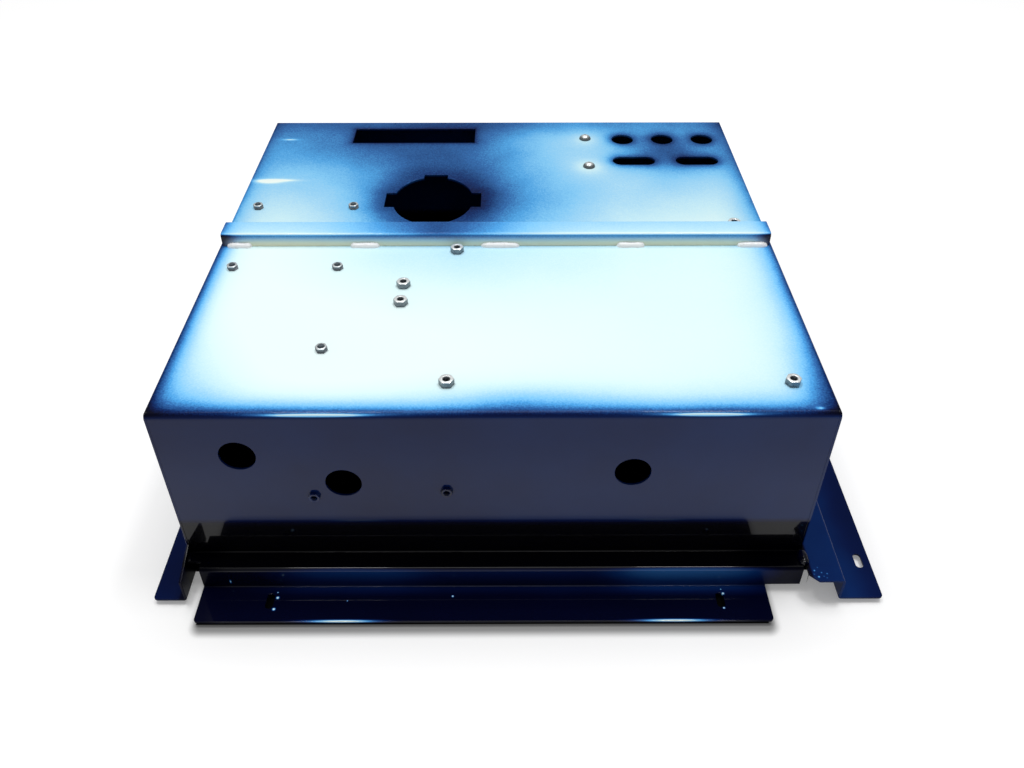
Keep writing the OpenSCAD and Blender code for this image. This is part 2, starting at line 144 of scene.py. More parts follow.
def maths(tree, operation, first, *others, clamp=False):
    """One value through an operation, or several joined by it from left to right."""
    settings = {"operation": operation, "use_clamp": clamp}
    if not others:
        return node(tree, "ShaderNodeMath", {0: first}, **settings).outputs[0]
    for other in others:
        first = node(tree, "ShaderNodeMath", {0: first, 1: other}, **settings).outputs[0]
    return first


def plus(tree, *values, clamp=False):
    return maths(tree, "ADD", *values, clamp=clamp)


def minus(tree, value, taken_off):
    return maths(tree, "SUBTRACT", value, taken_off)


def times(tree, *values, clamp=False):
    return maths(tree, "MULTIPLY", *values, clamp=clamp)


def largest(tree, *values):
    return maths(tree, "MAXIMUM", *values)


def rest_of(tree, share):
    return minus(tree, 1.0, share)


# %% [markdown]
# A range node turns one run of numbers into another. Fading in softly between two places and
# picking a value between two limits are the two uses it has here. The mixes join two finished
# values or colours by a share.


# %% Ranges and mixes
def remap(tree, value, start, end, low, high, curve="LINEAR"):
    inputs = {"Value": value, "From Min": start, "From Max": end, "To Min": low, "To Max": high}
    return node(tree, "ShaderNodeMapRange", inputs, interpolation_type=curve).outputs[0]


def fade_in(tree, value, start, end):
    """0 before start, 1 after end, smooth in between."""
    return remap(tree, value, start, end, 0.0, 1.0, "SMOOTHSTEP")


def blend_value(tree, share, low, high):
    """low where the share is 0, high where it is 1."""
    return remap(tree, share, 0.0, 1.0, low, high)


def mix_value(tree, share, first, second):
    inputs = {"Factor": share, "A": first, "B": second}
    return node(tree, "ShaderNodeMix", inputs).outputs["Result"]


def mix_colour(tree, share, first, second, blend="MIX"):
    inputs = {"Factor": share, "A": first, "B": second}
    settings = {"data_type": "RGBA", "blend_type": blend}
    return node(tree, "ShaderNodeMix", inputs, **settings).outputs["Result"]


def linear(red, green, blue):
    """A colour as a painter's chart gives it, 0 to 255, in the linear light that shaders use."""
    parts = [c / 255 for c in (red, green, blue)]
    return [c / 12.92 if c <= 0.04045 else ((c + 0.055) / 1.055) ** 2.4 for c in parts] + [1]


# %% [markdown]
# A group is a small tree of nodes with its own inputs and outputs, made once and used in many
# finishes. A new material starts with one shader, here called its skin, and with the place of each
# point of the piece, so that a finish stays on the metal from every side.


# %% Groups and materials
def new_group(name, inputs, outputs):
    tree = bpy.data.node_groups.new(name, "ShaderNodeTree")
    for label, kind, default in inputs:
        socket = tree.interface.new_socket(
            label, in_out="INPUT", socket_type=f"NodeSocket{kind}")
        socket.default_value = default
    for label, kind in outputs:
        tree.interface.new_socket(label, in_out="OUTPUT", socket_type=f"NodeSocket{kind}")
    print("group", name, "gives", [label for label, kind in outputs])
    given = tree.nodes.new("NodeGroupInput").outputs
    return tree, given, tree.nodes.new("NodeGroupOutput").inputs


def use(tree, group, inputs=None):
    """Place a group in a tree and give back its outputs."""
    return node(tree, "ShaderNodeGroup", inputs, node_tree=group).outputs


def new_material(name):
    material = bpy.data.materials.new(name)
    material.use_nodes = True
    tree = material.node_tree
    point = node(tree, "ShaderNodeTexCoord").outputs["Object"]
    print("material", name)
    return material, tree, tree.nodes["Principled BSDF"], point


def axes_of(tree, point):
    return node(tree, "ShaderNodeSeparateXYZ", {0: point}).outputs


def bumps(tree, height, strength, depth):
    """Fine relief: depth in millimetres."""
    inputs = {"Strength": strength, "Distance": depth * MM, "Height": height}
    return node(tree, "ShaderNodeBump", inputs).outputs["Normal"]


# %% [markdown]
# ## Paint as a thickness
#
# Translucent blue enamel is sprayed thin. It gathers at every edge, fold and cut-out, where it
# dries nearly navy, and it thins to a pale film on open metal. A film lets through less light the
# thicker it is, so every pass of the gun adds a thickness, and the share of bare metal that shines
# through is e to the power of minus their sum. The first group is one pass, thickest at an edge.

# %% Group: a pass of paint along an edge
edge_pass, given, out = new_group(
    "paint_along_an_edge",
    [("Distance", "Float", 0.0), ("Amount", "Float", 1.0), ("Reach", "Float", 0.01),
     ("Slope", "Float", 1.0)],
    [("Thickness", "Float")])
share = maths(edge_pass, "DIVIDE", largest(edge_pass, given["Distance"], 0.0), given["Reach"])
share = maths(edge_pass, "POWER", share, given["Slope"])
decay = maths(edge_pass, "EXPONENT", times(edge_pass, share, -1.0))
edge_pass.links.new(times(edge_pass, decay, given["Amount"]), out["Thickness"])

# %% [markdown]
# The second group measures how far a point is from a cut-out with rounded corners. A slot, a circle
# and a rectangle are all such shapes, so one group serves every opening.


# %% Group: distance from a cut-out
def vector_maths(tree, operation, *vectors):
    return node(tree, "ShaderNodeVectorMath", dict(enumerate(vectors)), operation=operation)


rim, given, out = new_group(
    "distance_from_cutout",
    [("Point", "Vector", (0, 0, 0)), ("Centre", "Vector", (0, 0, 0)),
     ("Half Size", "Vector", (0, 0, 0)), ("Corner", "Float", 0.0)],
    [("Distance", "Float")])
away = vector_maths(rim, "SUBTRACT", given["Point"], given["Centre"]).outputs[0]
away = vector_maths(rim, "ABSOLUTE", away).outputs[0]
away = vector_maths(rim, "SUBTRACT", away, given["Half Size"]).outputs[0]
axes = axes_of(rim, away)
outside = [largest(rim, plus(rim, axes[axis], given["Corner"]), 0.0) for axis in ("X", "Y")]
length = maths(rim, "SQRT", plus(rim, *[times(rim, side, side) for side in outside]))
rim.links.new(minus(rim, length, given["Corner"]), out["Distance"])

# %% [markdown]
# The third group is a pass over open metal: an oval patch, thickest at its middle, where the gun
# was held for a moment longer.

# %% Group: a patch of paint
PATCH_SLOPE = 1.6
patch, given, out = new_group(
    "paint_patch",
    [("Point", "Vector", (0, 0, 0)), ("Centre", "Vector", (0, 0, 0)),
     ("Radii", "Vector", (1, 1, 1)), ("Amount", "Float", 1.0)],
    [("Thickness", "Float")])
away = vector_maths(patch, "SUBTRACT", given["Point"], given["Centre"]).outputs[0]
away = vector_maths(patch, "DIVIDE", away, given["Radii"]).outputs[0]
away = vector_maths(patch, "LENGTH", away).outputs["Value"]
decay = maths(patch, "EXPONENT", times(patch, maths(patch, "POWER", away, PATCH_SLOPE), -1.0))
patch.links.new(times(patch, decay, given["Amount"]), out["Thickness"])

# %% [markdown]
# The fourth group is the paint itself: thick navy at 0, through royal and sky blue, to the pale
# film at 1. The steps were chosen as a painter mixes a chart, darkest first.

# %% Group: enamel by thickness
PAINT_STEPS = [
    (0, (0, 0, 4)), (0.04, (0, 2, 30)), (0.08, (4, 22, 70)), (0.125, (9, 46, 105)),
    (0.25, (47, 106, 175)), (0.375, (78, 166, 234)), (0.5, (129, 204, 253)),
    (0.625, (164, 220, 254)), (0.75, (200, 240, 255)), (0.875, (225, 252, 255)),
    (1, (238, 254, 254))]
enamel, given, out = new_group(
    "enamel_by_thickness", [("Cover", "Float", 1.0)], [("Colour", "Color")])
ramp = node(enamel, "ShaderNodeValToRGB", {"Fac": given["Cover"]})
while len(ramp.color_ramp.elements) < len(PAINT_STEPS):
    ramp.color_ramp.elements.new(0.5)
for element, (place, colour) in zip(ramp.color_ramp.elements, PAINT_STEPS):
    element.position = place
    element.color = linear(*colour)
enamel.links.new(ramp.outputs["Color"], out["Colour"])

# %% [markdown]
# The fifth group is the skin of sprayed enamel: a faint orange peel that breaks up reflections, a
# fine mist of droplets that speckles the colour, and a slow cloud that drifts over the whole coat.

# %% Group: orange peel, mist and cloud
spray, given, out = new_group(
    "spray_texture",
    [("Point", "Vector", (0, 0, 0)), ("Peel Size", "Float", 0.004),
     ("Mist Size", "Float", 0.0012), ("Cloud Size", "Float", 0.07)],
    [("Peel", "Float"), ("Mist", "Float"), ("Cloud", "Float")])
for label, detail in (("Peel", 2.0), ("Mist", 4.0), ("Cloud", 3.0)):
    scale = maths(spray, "DIVIDE", 1.0, given[f"{label} Size"])
    inputs = {"Vector": given["Point"], "Scale": scale, "Detail": detail}
    spray.links.new(node(spray, "ShaderNodeTexNoise", inputs).outputs["Fac"], out[label])

# %% [markdown]
# ## The enamel of the back panel
#
# The back panel is the light part. Its front half is nearly bare, its back half keeps a sky-blue
# film, and the two meet under the stiffener. The tables below are the painter's log: how much each
# edge, cut-out and patch got, where the film was rubbed or burnt away again, and two painted
# highlights of the lamps along the near fold.

# %% The painter's log for the panel
# Edges and rims: thickness, reach in millimetres and slope of the fade
FRONT_EDGES = {"left": (2.5, 6.3, 0.9), "right": (2.4, 6.0, 0.7), "near": (3.5, 5.5, 0.75),
               "channel": (0.12, 3.0, 2.0)}
REAR_EDGES = {"left": (1.1, 7.3, 0.7), "right": (1.1, 12.0, 1.0), "far": (0.9, 36.0, 1.6)}
KEYED_RIM, LUG_RIM = (0.6, 22.0, 1.6), (0.3, 13.0, 2.0)
WINDOW_RIM, ROUND_RIM = (1.3, 3.0, 0.8), (0.85, 5.5, 1.1)
# Patches: centre across and along, two radii, all in millimetres, and thickness
FRONT_PATCHES = [
    ((-42, 208), (141, 65), 0.33), ((21, 13), (52, 18), 0.36), ((-235, -134), (41, 118), 3.0),
    ((232, 20), (14, 34), 0.5)]
REAR_PATCHES = [
    ((2, 308), (184, 60), 0.49), ((-137, 416), (150, 73), 1.04), ((178, 405), (52, 53), 1.4),
    ((-38, 232), (74, 260), 1.2)]
# Rubs, and on the front two painted highlights of the lamps along the near fold: the same, with
# a thickness that is taken off
FRONT_GLINTS_AND_RUBS = [
    ((-122, 1.3), (36, 0.9), -4.5), ((150, 1.3), (30, 0.9), -4.5), ((226, 6), (3.5, 1.6), -1.5)]
REAR_RUBS = [
    ((-222, 341), (11, 3.5), -1.2), ((-214, 343), (16, 2.0), -0.9), ((-218, 434), (7, 1.6), -0.9),
    ((91, 435), (15, 15), -0.35), ((91, 371), (15, 15), -0.35)]
FRONT_DRIFT, REAR_BASE = 0.13, 0.06
MIST, CLOUD = (0.7, 1.3), (0.75, 1.25)
print(len(FRONT_PATCHES + REAR_PATCHES), "patches and", len(FRONT_GLINTS_AND_RUBS + REAR_RUBS), "rubs")

# %% [markdown]
# Every cut-out of the rear half comes from the record: the keyed oval with its lugs, the window,
# three round holes and two long slots. Each keeps the pass of paint that gathered round its rim.

# %% List the rear cut-outs
KEYED_HALF, KEYED_CORNER = (0.0375, 0.046, 1), 0.0375
SLOT_HALF, SLOT_CORNER = (0.02125, 0.009, 1), 0.009
lug_centre, lug_half = opening_box("keyed_hole_side_notches")
window_centre, window_half = opening_box("rectangular_cutout")
# Centre, half size, corner radius and the pass round the rim
CUTOUTS = [
    (opening_box("keyed_hole_end_notches")[0], KEYED_HALF, KEYED_CORNER, KEYED_RIM),
    (lug_centre, (lug_half.x + MM, lug_half.y, 1), 0.001, LUG_RIM),
    (window_centre, (window_half.x + MM, window_half.y + MM, 1), 0.0, WINDOW_RIM)]
for name in ("round_cutout_1", "round_cutout_2", "round_cutout_3"):
    radius = mounts[name]["dims"]["r_mm"] * MM
    CUTOUTS.append((mounts[name]["pos_m"], (radius, radius, 1), radius, ROUND_RIM))
for name in ("outer_obround", "inner_obround"):
    CUTOUTS.append((opening_box(name)[0], SLOT_HALF, SLOT_CORNER, ROUND_RIM))
print(len(CUTOUTS), "cut-outs gather paint")

# %% [markdown]
# Now the passes are added up. Front and rear each have their own sum, the two fade into each other
# under the stiffener, and mist and cloud make the sum uneven before it turns into a colour.


# %% Paint on the back panel
def along_edge(tree, distance, amount, reach, slope):
    inputs = {"Distance": distance, "Amount": amount, "Reach": reach * MM, "Slope": slope}
    return use(tree, edge_pass, inputs)[0]


def round_cutout(tree, point, centre, half, corner, rim_pass):
    inputs = {"Point": point, "Centre": centre, "Half Size": half, "Corner": corner}
    return along_edge(tree, use(tree, rim, inputs)[0], *rim_pass)


def on_panel_patch(tree, point, place, radii, amount):
    """place: millimetres from the panel's middle line and from the near end wall."""
    centre = (middle_x + place[0] * MM, near_y + place[1] * MM, top_z)
    inputs = {"Point": point, "Centre": centre, "Radii": (radii[0] * MM, radii[1] * MM, 1),
              "Amount": amount}
    return use(tree, patch, inputs)[0]


def panel_cover(tree, point, axes, texture):
    """How much bare metal shines through the paint of the back panel."""
    x, y = axes["X"], axes["Y"]
    distances = {
        "left": minus(tree, x, left_x), "right": minus(tree, right_x, x),
        "near": minus(tree, y, near_y), "far": minus(tree, far_y, y),
        "channel": minus(tree, channel_low.y, y)}

    def passes(edges, patches):
        return [along_edge(tree, distances[name], *values) for name, values in edges.items()] + [
            on_panel_patch(tree, point, *row) for row in patches]

    sideways = maths(tree, "DIVIDE", minus(tree, x, middle_x), half_width)
    front = passes(FRONT_EDGES, FRONT_PATCHES + FRONT_GLINTS_AND_RUBS)
    front.append(times(tree, sideways, FRONT_DRIFT))
    rear = passes(REAR_EDGES, REAR_PATCHES + REAR_RUBS) + [REAR_BASE]
    rear += [round_cutout(tree, point, *cutout) for cutout in CUTOUTS]
    front_sum, rear_sum = [largest(tree, plus(tree, *half), 0.0) for half in (front, rear)]
    behind = fade_in(tree, y, channel_low.y, channel_high.y)
    thick = times(tree, mix_value(tree, behind, front_sum, rear_sum),
                  blend_value(tree, texture["Mist"], *MIST),
                  blend_value(tree, texture["Cloud"], *CLOUD), -1.0)
    return maths(tree, "EXPONENT", thick)


# %% [markdown]
# ## The dark coat of the walls, ledges, legs and flanges
#
# Below the panel everything is one thick navy coat. Low on the walls, in the band in which they
# mirror their own dark ledges, the colour is painted near black, a painted reflection; above it the
# walls are a little lighter. A painted sheen of the lamps lies on the legs where they bend, and the
# outer flanges are a shade lighter than the ledges. Heights and distances are masks along the axes.

# %% Where the dark coat changes
# Heights in metres
LEDGE_TO_WALL, MIRROR_TO_WALL, HIGH_WALL = (0.026, 0.03), (0.051, 0.061), (0.08, 0.15)
LEG_FOOT = (0.002, 0.02)
# Distances from the middle towards the near and far flanges, in metres
LEDGE_TO_LEG, LEG_TO_FLANGE, ON_FLANGE = (0.2555, 0.2578), (0.2582, 0.27), (0.2575, 0.2585)
# Places to the left and right, in metres
SIDE_EDGE = (half_width - 0.0015, half_width)
LEFT_FLANGE, RIGHT_LEDGE = (left_x - 0.006, left_x), (right_x + 0.001, right_x + 0.004)
RIGHT_FLANGE = (0.25, 0.282)
# How much metal shines through
WALL_FILM, FLANGE_FILM, LEFT_FILM, RIGHT_FILM = (0.084, 0.104), 0.036, 0.07, (0.105, 0.07)
WALL_CLOUD, LEG_FILM = (-0.02, 0.02), (0.5, 1.1)
# Painted sheen on the legs' bend: middle and half width in metres, and amount
LEG_GLOWS = [(-0.013, 0.185, 0.06), (-0.13, 0.055, 0.05), (0.135, 0.058, 0.13)]
GLOW_SLOPE = 4.0
print("walls begin", LEDGE_TO_WALL[1] / MM, "mm up")


# %% Paint on the walls and flanges
def dark_cover(tree, axes, texture):
    """How much bare metal shines through the one thick coat below the panel."""
    x, z = axes["X"], axes["Z"]
    outwards = maths(tree, "ABSOLUTE", axes["Y"])
    sideways = maths(tree, "ABSOLUTE", minus(tree, x, middle_x))

    at_side = times(tree, fade_in(tree, sideways, *SIDE_EDGE), fade_in(tree, z, *LEDGE_TO_WALL))
    # Below the mirrored band the walls get no film: a painted reflection of the dark ledges.
    on_wall = largest(tree, fade_in(tree, z, *MIRROR_TO_WALL), at_side)
    film = blend_value(tree, fade_in(tree, x, left_x, right_x), *WALL_FILM)
    wall = times(tree, on_wall, plus(tree, film, blend_value(
        tree, texture["Cloud"], *WALL_CLOUD)))

    # The legs' glow is a painted sheen of the lamps, strongest at the top of the leg.
    glows = [use(tree, edge_pass, {
        "Distance": maths(tree, "ABSOLUTE", minus(tree, x, middle)), "Amount": amount,
        "Reach": reach, "Slope": GLOW_SLOPE})[0] for middle, reach, amount in LEG_GLOWS]
    leg = times(tree, plus(tree, *glows),
                blend_value(tree, fade_in(tree, z, *LEG_FOOT), *LEG_FILM),
                fade_in(tree, outwards, *LEDGE_TO_LEG),
                rest_of(tree, fade_in(tree, outwards, *LEG_TO_FLANGE)))

    flange = times(tree, fade_in(tree, outwards, *ON_FLANGE), FLANGE_FILM)
    left = times(tree, rest_of(tree, fade_in(tree, x, *LEFT_FLANGE)), LEFT_FILM)
    right = times(tree, fade_in(tree, x, *RIGHT_LEDGE), blend_value(
        tree, fade_in(tree, x, *RIGHT_FLANGE), *RIGHT_FILM))
    low = times(tree, largest(tree, flange, left, right), blend_value(
        tree, texture["Cloud"], *CLOUD))
    return plus(tree, wall, low, leg)


# %% [markdown]
# Weld spatter leaves small bright spots on the dark coat, most of them on the right ledge next to
# the corner weld. The bright spots at the near flange's slots are painted highlights on their rims,
# and two lamps are mirrored in the bends as thin bright lines, painted highlights too. All are very
# small bright patches in the colour, placed in the part's own frame.

# %% Spatter and glints
# Place and radius, in millimetres. Rows 1 to 3 and 7 to 9 are painted highlights on the slots'
# rims; the rest is spatter.
SPATTER_AND_SLOT_GLINTS = [
    (-186.2, -269, 1, 0.7), (-187.2, -279.6, 1, 0.7), (-187.0, -264, 1, 0.35),
    (-224, -257.6, 8, 0.4), (-51, -268, 1, 0.5), (-132, -272, 1, 0.3), (158.6, -266, 1, 0.6),
    (157, -279.5, 1, 0.5), (157.6, -262, 1, 0.3), (229, -266, 24, 0.5), (232, -262, 24, 0.4),
    (227, -260, 24, 0.45), (235, -267, 24, 0.35), (230, -257, 24, 0.35), (236, -263, 24, 0.4),
    (233, -265.5, 24, 0.35), (226, -263.5, 24, 0.35), (-240, -251, 24, 0.3)]
SPECK_SHAPE, SPECK_AMOUNT = Vector((1, 1, 3)), 2.2
# Painted highlights of the lamps on the bends: middle of the line and half its length, in
# millimetres
GLINTS = [
    (-138, -257.3, 23.4, 17), (138, -257.3, 23.4, 27), (-134, -290.8, 1.8, 17),
    (118, -290.8, 1.8, 17)]
GLINT_HALF_HEIGHTS, GLINT_AMOUNT = (0.8, 0.9), 1.4


def spatter_and_glints(tree, point):
    spots = [(place, SPECK_SHAPE * radius, SPECK_AMOUNT) for *place, radius in SPATTER_AND_SLOT_GLINTS]
    spots += [(place, Vector((half_length, *GLINT_HALF_HEIGHTS)), GLINT_AMOUNT)
              for *place, half_length in GLINTS]
    print(len(spots), "bright spots on the dark coat")
    return plus(tree, *[use(tree, patch, {
        "Point": point, "Centre": Vector(place) * MM, "Radii": radii * MM, "Amount": amount})[0]
        for place, radii, amount in spots])


# %% [markdown]
# ## The material of the four sheets
#
# Height decides which of the two coats a point has: above the fold it is the panel's, below it the
# walls'. The gloss is a clear coat over the colour. It is full on the walls' lower half, thinner
# higher up and on the panel, and dull on the side flanges and at the corners, which got overspray.


# %% Sheet enamel
PANEL_FOLD = (top_z - 0.0035, top_z - 0.0005)
REAR_TINT = linear(253, 248, 243)
# Where the gloss is dull, in metres from a line a little left of the middle
CORNERS, CORNER_LINE = (0.19, 0.215), middle_x - 0.01
RIGHT_OVERSPRAY = (right_x, right_x + 0.003)
WALL_GLOSS, PANEL_GLOSS, DULLED, HIGH_DULLED = 1.0, 0.3, 0.88, 0.25


def sheet_gloss(tree, axes, on_panel):
    x, z = axes["X"], axes["Z"]
    beside = largest(tree, fade_in(tree, x, *RIGHT_OVERSPRAY),
                     rest_of(tree, fade_in(tree, x, *LEFT_FLANGE)))
    low = rest_of(tree, fade_in(tree, z, *LEDGE_TO_WALL))
    from_line = maths(tree, "ABSOLUTE", minus(tree, x, CORNER_LINE))
    dull = times(tree, largest(tree, beside, fade_in(tree, from_line, *CORNERS)), low, DULLED)
    high = times(tree, rest_of(tree, on_panel), HIGH_DULLED, fade_in(tree, z, *HIGH_WALL))
    return minus(tree, minus(tree, blend_value(tree, on_panel, WALL_GLOSS, PANEL_GLOSS), dull), high)


def sheet_enamel():
    material, tree, skin, point = new_material("sheet_enamel")
    axes = axes_of(tree, point)
    texture = use(tree, spray, {"Point": point})
    on_panel = fade_in(tree, axes["Z"], *PANEL_FOLD)
    dark = plus(tree, dark_cover(tree, axes, texture), spatter_and_glints(tree, point), clamp=True)
    cover = mix_value(tree, on_panel, dark, panel_cover(tree, point, axes, texture))
    paint = use(tree, enamel, {"Cover": cover})["Colour"]
    behind = times(tree, fade_in(tree, axes["Y"], channel_low.y, channel_high.y), on_panel)
    fill(tree, skin, {
        "Base Color": mix_colour(tree, behind, paint, REAR_TINT, "MULTIPLY"),
        "Roughness": blend_value(tree, on_panel, 0.3, 0.45),
        "Specular IOR Level": 0.03, "Coat IOR": 1.32, "Coat Roughness": 0.05,
        "Coat Weight": sheet_gloss(tree, axes, on_panel),
        "Normal": bumps(tree, texture["Peel"], 0.1, 0.2)})
    return material


SHEET_ENAMEL = sheet_enamel()

# %% [markdown]
# ## Plain enamel for the corner welds and the painted nuts
#
# These pieces are small, so their thickness of paint is one value with a cloud of variation.


# %% Plain enamel
LACQUER = {"Specular IOR Level": 0.05, "Coat IOR": 1.36, "Coat Roughness": 0.06}


def plain_enamel(name, cover_low, cover_high, gloss, peel_size):
    material, tree, skin, point = new_material(name)
    texture = use(tree, spray, {"Point": point, "Peel Size": peel_size})
    cloud = fade_in(tree, texture["Cloud"], 0.35, 0.65)
    mist = blend_value(tree, texture["Mist"], -0.04, 0.04)
    cover = plus(tree, blend_value(tree, cloud, cover_low, cover_high), mist, clamp=True)
    fill(tree, skin, {
        "Base Color": use(tree, enamel, {"Cover": cover})["Colour"],
        "Roughness": blend_value(tree, cloud, 0.28, 0.4), "Coat Weight": gloss,
        "Normal": bumps(tree, texture["Peel"], 0.15, 0.2), **LACQUER})
    return material


FINE_PEEL = 2 * MM
CORNER_ENAMEL = plain_enamel("corner_enamel", 0.0, 0.05, 0.7, FINE_PEEL)
NUT_ENAMEL = plain_enamel("nut_enamel", 0.06, 0.16, 1.0, FINE_PEEL)

# %% [markdown]
# ## The stiffener's enamel
#
# The channel was sprayed with the panel it stands on. Its top is heavy over the keyed hole and thin
# beside it, with a painted highlight along its front edge. Its front leg carries a painted
# reflection
# of the pale panel in front of it: straw-coloured at the foot, where the stitch welds are, and
# darker blue upwards; it also gets bluer towards both ends.


# %% Channel enamel
# Thickness, reach in millimetres and slope of each pass on the top and on the legs
# The negative "rim" pass on the top is a painted highlight along its front edge.
TOP_PASSES = {"end": (1.1, 6, 1.0), "hole": (1.35, 60, 1.6), "rim": (-0.5, 2, 2.0)}
LEG_PASSES = {"end": (2.4, 9, 1.5), "hole": (0.5, 62, 1.6)}
# The thickness that rises up the front leg is the dark upper part of its painted reflection.
TOP_BASE, TOP_SLANT, LEG_REFLECTION_RISE = 0.32, (-0.06, 0.14), (0.0, 1.15)
HOLE_SIDEWAYS = 0.049
CHANNEL_MIST, CHANNEL_CLOUD = (0.75, 1.25), (0.8, 1.2)
# Straw tint of the front leg's painted reflection of the pale panel, and its share at foot and top.
PANEL_REFLECTION_TINT, PANEL_REFLECTION_UP_LEG = linear(246, 240, 206), (0.85, -0.05)


def channel_thickness(tree, axes, up_leg, on_top):
    """Thickness of the coat, and how much of it belongs to the channel's ends."""
    sideways = minus(tree, axes["X"], middle_x)
    half_length = (channel_high.x - channel_low.x) / 2
    distances = {
        "end": minus(tree, half_length, maths(tree, "ABSOLUTE", sideways)),
        "hole": maths(tree, "ABSOLUTE", plus(tree, sideways, HOLE_SIDEWAYS)),
        "rim": minus(tree, axes["Y"], channel_low.y)}
    on_top_sheet = [along_edge(tree, distances[name], *row) for name, row in TOP_PASSES.items()]
    across = remap(tree, axes["Y"], channel_low.y, channel_high.y, *TOP_SLANT)
    top = plus(tree, *on_top_sheet, across, TOP_BASE)
    at_end = along_edge(tree, distances["end"], *LEG_PASSES["end"])
    at_hole = times(tree, along_edge(tree, distances["hole"], *LEG_PASSES["hole"]), up_leg)
    leg = plus(tree, blend_value(tree, up_leg, *LEG_REFLECTION_RISE), at_end, at_hole)
    return mix_value(tree, on_top, leg, largest(tree, top, 0.0)), at_end


def channel_enamel():
    material, tree, skin, point = new_material("channel_enamel")
    axes = axes_of(tree, point)
    texture = use(tree, spray, {"Point": point})
    up_leg = fade_in(tree, axes["Z"], top_z, channel_high.z)
    on_top = fade_in(tree, axes["Z"], channel_high.z - 0.002, channel_high.z - 0.0003)
    thick, at_end = channel_thickness(tree, axes, up_leg, on_top)
    thick = times(tree, thick, blend_value(tree, texture["Mist"], *CHANNEL_MIST),
                  blend_value(tree, texture["Cloud"], *CHANNEL_CLOUD), -1.0)
    paint = use(tree, enamel, {"Cover": maths(tree, "EXPONENT", thick)})["Colour"]
    # The straw share is a painted reflection of the pale panel on the front leg, less near the ends.
    panel_reflection = times(tree, rest_of(tree, on_top), blend_value(tree, up_leg, *PANEL_REFLECTION_UP_LEG))
    panel_reflection = times(tree, panel_reflection, rest_of(tree, times(tree, at_end, 0.4)), clamp=True)
    fill(tree, skin, {
        "Base Color": mix_colour(tree, panel_reflection, paint, PANEL_REFLECTION_TINT),
        "Roughness": blend_value(tree, texture["Cloud"], 0.3, 0.45), "Coat Weight": 0.35,
        "Normal": bumps(tree, texture["Peel"], 0.12, 0.2), **LACQUER})
    return material


CHANNEL_ENAMEL = channel_enamel()

# %% [markdown]
# ## Zinc plate
#
# Bought nuts and screws are zinc plated: a grey metal with a soft, slightly green bloom that varies
# from crystal to crystal. A cell pattern for the crystals and a noise for the bloom feed the colour
# and the roughness together. The upper rim gets a painted highlight and the sides painted shade,
# and the colour darkens where the fastener meets the panel.


# %% Zinc
DARK_AT_PANEL = linear(46, 60, 74)


def zinc_plate(name, highlight_height, highlight_depth, side, top):
    """The first height is where this fastener's painted highlight, on its upper rim, lies above the
    panel, in millimetres.
    """
    material, tree, skin, point = new_material(name)
    crystals = node(tree, "ShaderNodeTexVoronoi", {"Vector": point, "Scale": 1800.0})
    grains = node(tree, "ShaderNodeSeparateColor", {0: crystals.outputs["Color"]}).outputs[0]
    bloom = node(tree, "ShaderNodeTexNoise", {"Vector": point, "Scale": 400.0, "Detail": 3.0})
    bloom = bloom.outputs["Fac"]
    share = plus(tree, times(tree, grains, 0.3), times(tree, bloom, 0.7), clamp=True)
    above_panel = minus(tree, axes_of(tree, point)["Z"], top_z)
    painted_highlight = fade_in(tree, above_panel, (highlight_height - highlight_depth) * MM, highlight_height * MM)
    bright = plus(tree, times(tree, painted_highlight, 0.8), times(tree, share, 0.35), clamp=True)
    # The lit top colour is a painted highlight, the side colour painted shade.
    painted_light_colour = mix_colour(tree, bright, linear(*side), linear(*top))
    # Darker colour where the fastener meets the panel.
    at_panel = along_edge(tree, maths(tree, "ABSOLUTE", above_panel), 0.8, 0.8, 1.0)
    fill(tree, skin, {
        "Base Color": mix_colour(tree, at_panel, painted_light_colour, DARK_AT_PANEL), "Metallic": 0.6,
        "Roughness": blend_value(tree, share, 0.42, 0.26),
        "Normal": bumps(tree, grains, 0.2, 0.1)})
    return material


# Shaded side colour and lit top colour: painted shade and a painted highlight.
NUT_ZINC = zinc_plate("nut_zinc", 4.9, 0.6, (56, 70, 84), (246, 250, 250))
SMALL_NUT_ZINC = zinc_plate("small_nut_zinc", 3.9, 0.8, (92, 104, 114), (216, 222, 224))
SCREW_ZINC = zinc_plate("screw_zinc", 5.6, 0.9, (40, 52, 64), (150, 160, 166))
DOME_ZINC = zinc_plate("dome_zinc", 4.4, 2.2, (62, 70, 70), (236, 240, 238))

# %% [markdown]
# ## Folded sheets with dressed edges
#
# Each sheet is the construction model's own solid. A sheared or laser-cut edge is never a perfect
# corner: it is dressed and the paint rounds it further, and that thin round is what catches the
# light. So each sheet is copied, its loose triangles are merged, flat ones are joined, and a 0.3 mm
# bevel runs round every sharp edge. Bends keep the radius that the press gave them.


# %% Helpers for finished pieces
def only(piece):
    """Select one piece and nothing else, ready for an operator."""
    if bpy.context.object and bpy.context.object.mode != "OBJECT":
        bpy.ops.object.mode_set(mode="OBJECT")
    bpy.ops.object.select_all(action="DESELECT")
    piece.select_set(True)
    bpy.context.view_layer.objects.active = piece


def finish_piece(piece, material, slot, *nodes):
    piece.data.materials.clear()
    piece.data.materials.append(material)
    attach(piece, "root")
    if nodes:
        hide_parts(*nodes)
    print(piece.name, len(piece.data.polygons), "faces")
    return piece


def bevel_edges(piece, width, clamp):
    """Round every edge sharper than 40 degrees: width in millimetres."""
    edge = piece.modifiers.new("edge", "BEVEL")
    edge.width = width * MM
    edge.segments = 2
    edge.angle_limit = math.radians(40)
    edge.use_clamp_overlap = clamp
    bpy.ops.object.modifier_apply(modifier="edge")


# %% Make the dressed sheets
DRESSED_EDGE = 0.3


